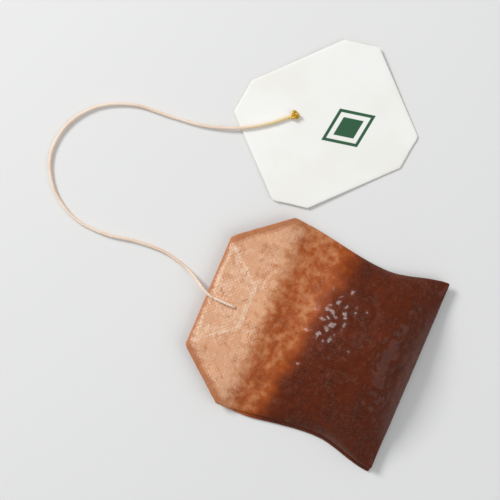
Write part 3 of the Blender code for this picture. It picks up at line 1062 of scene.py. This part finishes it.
def paper_finish():
    """Colour by what lies behind, fibres and dots as fine relief, and a wet shine."""
    made, tree, shader = new_material("wet filter paper", Coat_Weight=0.24, Coat_Roughness=0.13, IOR=1.33,
                                      Specular_IOR_Level=0.15)
    place = object_place(tree)
    sheet_map = add_node(tree, "ShaderNodeUVMap", {"uv_map": "pattern"}).outputs["UV"]
    leaves, rim, layers = [kept_value(tree, name) for name in ("leaves", "rim", "layers")]
    broad = noise_node(tree, place, 240, 4.0, 0.6)
    fine = noise_node(tree, place, 1500, 3.0, 0.6)
    clumps = noise_node(tree, place, 620, 2.0, 0.5)
    fibres = long_fibres(tree, sheet_map)
    dots = embossed_dots(tree, sheet_map)
    bare = math_node(tree, "SUBTRACT", 1.0, math_node(tree, "MULTIPLY", leaves, 3.5), clamp=True)

    # The pale specks are partly the paper's own paler fibres and layers, and partly painted highlight for the
    # wet sparkle.
    speck_and_highlight = pale_specks_and_painted_highlight(tree, bare, layers, fibres, dots, broad, fine)
    paled_and_highlit = mix(tree, speck_and_highlight, tea_colour(tree, leaves, broad, clumps), linear(250, 217, 190))
    near_edge = ramp(tree, math_node(tree, "ADD", rim, math_node(tree, "MULTIPLY", speck_and_highlight, -0.25)),
                     [(0.20, (0, 0, 0, 1)), (0.62, (1, 1, 1, 1))])
    band = math_node(tree, "MULTIPLY", near_edge, math_node(tree, "MULTIPLY", bare, 0.72), clamp=True)
    tree.links.new(mix(tree, band, paled_and_highlit, linear(172, 98, 54)), shader.inputs["Base Color"])

    height = math_node(tree, "ADD", math_node(tree, "MULTIPLY", fibres, 0.8),
                       math_node(tree, "MULTIPLY", dots, 0.10))
    for grey, amount in ((fine, 0.5), (layers, 0.9)):
        height = math_node(tree, "ADD", height, math_node(tree, "MULTIPLY", grey, amount))
    relief(tree, shader, height, 0.55, 0.16 * MM)
    tree.links.new(math_node(tree, "MULTIPLY_ADD", broad, 0.30, 0.27), shader.inputs["Roughness"])
    return made


def dress(piece, *finishes):
    """Gives a piece its materials, and only these."""
    piece.data.materials.clear()
    for finish in finishes:
        piece.data.materials.append(finish)


dress(paper, paper_finish())
print("paper finish:", len(paper.data.materials[0].node_tree.nodes), "nodes")

# %% [markdown]
# ## Leaves, thread and gold
# The leaves are seen only through a cut or a tear, so they get a plain dark finish with noise. The thread
# is cotton that has taken a little tea, and turns golden near the knot. The knot is of a golden thread:
# partly metallic, not mirror-like.

# %% Finishes of the leaves, the thread and the knot
GILT_FROM = 1 * MM
GILT_TO = 13 * MM
GILT_MOST = 0.8


def leaf_finish():
    """Swollen tea leaves: nearly black to reddish brown, lumpy and wet."""
    made, tree, shader = new_material("wet tea leaves", Roughness=0.42)
    grain = noise_node(tree, object_place(tree), 900, 4.0, 0.65)
    colour = ramp(tree, grain, [(0.3, linear(34, 17, 10)), (0.55, linear(66, 32, 16)),
                                (0.75, linear(104, 54, 26))])
    tree.links.new(colour, shader.inputs["Base Color"])
    relief(tree, shader, grain, 0.8, 0.3 * MM)
    return made


def fibre_finish(name, dark, pale, roughness, metallic=0.0, gilt=None):
    """A twisted thread: two close colours in fine noise, with hairy relief, and gilt near the knot."""
    made, tree, shader = new_material(name, Roughness=roughness, Metallic=metallic)
    place = object_place(tree)
    stains = noise_node(tree, place, 130, 3.0, 0.6)
    hairs = noise_node(tree, place, 5200, 3.0, 0.7)
    share = math_node(tree, "ADD", math_node(tree, "MULTIPLY", stains, 0.6),
                      math_node(tree, "MULTIPLY", hairs, 0.4))
    colour = ramp(tree, share, [(0.38, dark), (0.62, pale)])
    if gilt:
        away = add_node(tree, "ShaderNodeVectorMath", {"operation": "DISTANCE"}, i0=place,
                        i1=(KNOT_X, KNOT_Y, 0)).outputs["Value"]
        near = add_node(tree, "ShaderNodeMapRange", Value=away, i1=GILT_FROM, i2=GILT_TO, i3=GILT_MOST,
                        i4=0.0).outputs["Result"]
        colour = mix(tree, near, colour, gilt)
    tree.links.new(colour, shader.inputs["Base Color"])
    relief(tree, shader, hairs, 0.5, 0.06 * MM)
    return made


cotton = fibre_finish("cotton thread", linear(236, 204, 178), linear(252, 236, 220), 0.75,
                      gilt=linear(232, 208, 128))
gold = fibre_finish("golden thread", linear(186, 138, 30), linear(228, 188, 74), 0.42, metallic=0.35)
dark_leaves = leaf_finish()
for piece, finish in ((thread, cotton), (stitch, cotton), (knot, gold),
                      (lower_leaves, dark_leaves), (upper_leaves, dark_leaves)):
    dress(piece, finish)
print("finishes:", cotton.name + ",", gold.name + ",", dark_leaves.name)

# %% [markdown]
# ## Printed card
# The card is white, with faint fibres and edges where its grey-tan core shows. The print is a plain green
# lozenge with a frame. It is worked out from the card's own map in millimetres, so it stays sharp.

# %% The card's finish
LOZENGE_AT = (4.0, -2.6)
LOZENGE_HALF = (6.2, 4.4)
BLANK = (0, 0, 0, 1)
INK = (1, 1, 1, 1)
PRINT_STOPS = ((0.0, INK), (0.275, INK), (0.285, BLANK), (0.405, BLANK), (0.415, INK), (0.495, INK),
               (0.505, BLANK), (1.0, BLANK))


def lozenge_print(tree, flat_map):
    """1 where there is ink: a filled lozenge inside a framed one."""
    split = add_node(tree, "ShaderNodeSeparateXYZ", i0=flat_map)
    parts = []
    for axis, middle, half in zip("XY", LOZENGE_AT, LOZENGE_HALF):
        off = math_node(tree, "SUBTRACT", split.outputs[axis], middle)
        parts.append(math_node(tree, "DIVIDE", math_node(tree, "ABSOLUTE", off), half))
    reach = math_node(tree, "MULTIPLY", math_node(tree, "ADD", *parts), 0.5)
    return ramp(tree, reach, PRINT_STOPS)


def card_finish():
    """White card with faint clouds and fibres, and the print."""
    made, tree, shader = new_material("white card", Roughness=0.58)
    place = object_place(tree)
    flat_map = add_node(tree, "ShaderNodeUVMap", {"uv_map": "card_mm"}).outputs["UV"]
    cloudy = noise_node(tree, place, 60, 3.0, 0.5)
    ground = ramp(tree, cloudy, [(0.35, linear(243, 241, 234)), (0.65, linear(248, 248, 245))])
    printed = mix(tree, lozenge_print(tree, flat_map), ground, linear(34, 88, 54))
    tree.links.new(printed, shader.inputs["Base Color"])
    relief(tree, shader, noise_node(tree, place, 1600, 4.0, 0.6), 0.18, 0.06 * MM)
    return made


core, _, _ = new_material("card core", Roughness=0.8, Base_Color=linear(205, 190, 165))
dress(card, card_finish(), core)
for face in card.data.polygons:
    face.material_index = 1 if abs(face.normal.z) < 0.5 else 0
print("card edge faces:", sum(face.material_index for face in card.data.polygons))

# %% [markdown]
# ## Sizes
# The finished surfaces stay inside the imported model's box, apart from what soft paper may stand proud. The
# size of the finished surfaces is printed.

# %% Sizes and finish
low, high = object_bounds()
print("visual", np.round((np.array(high) - np.array(low)) / MM, 1), "mm")
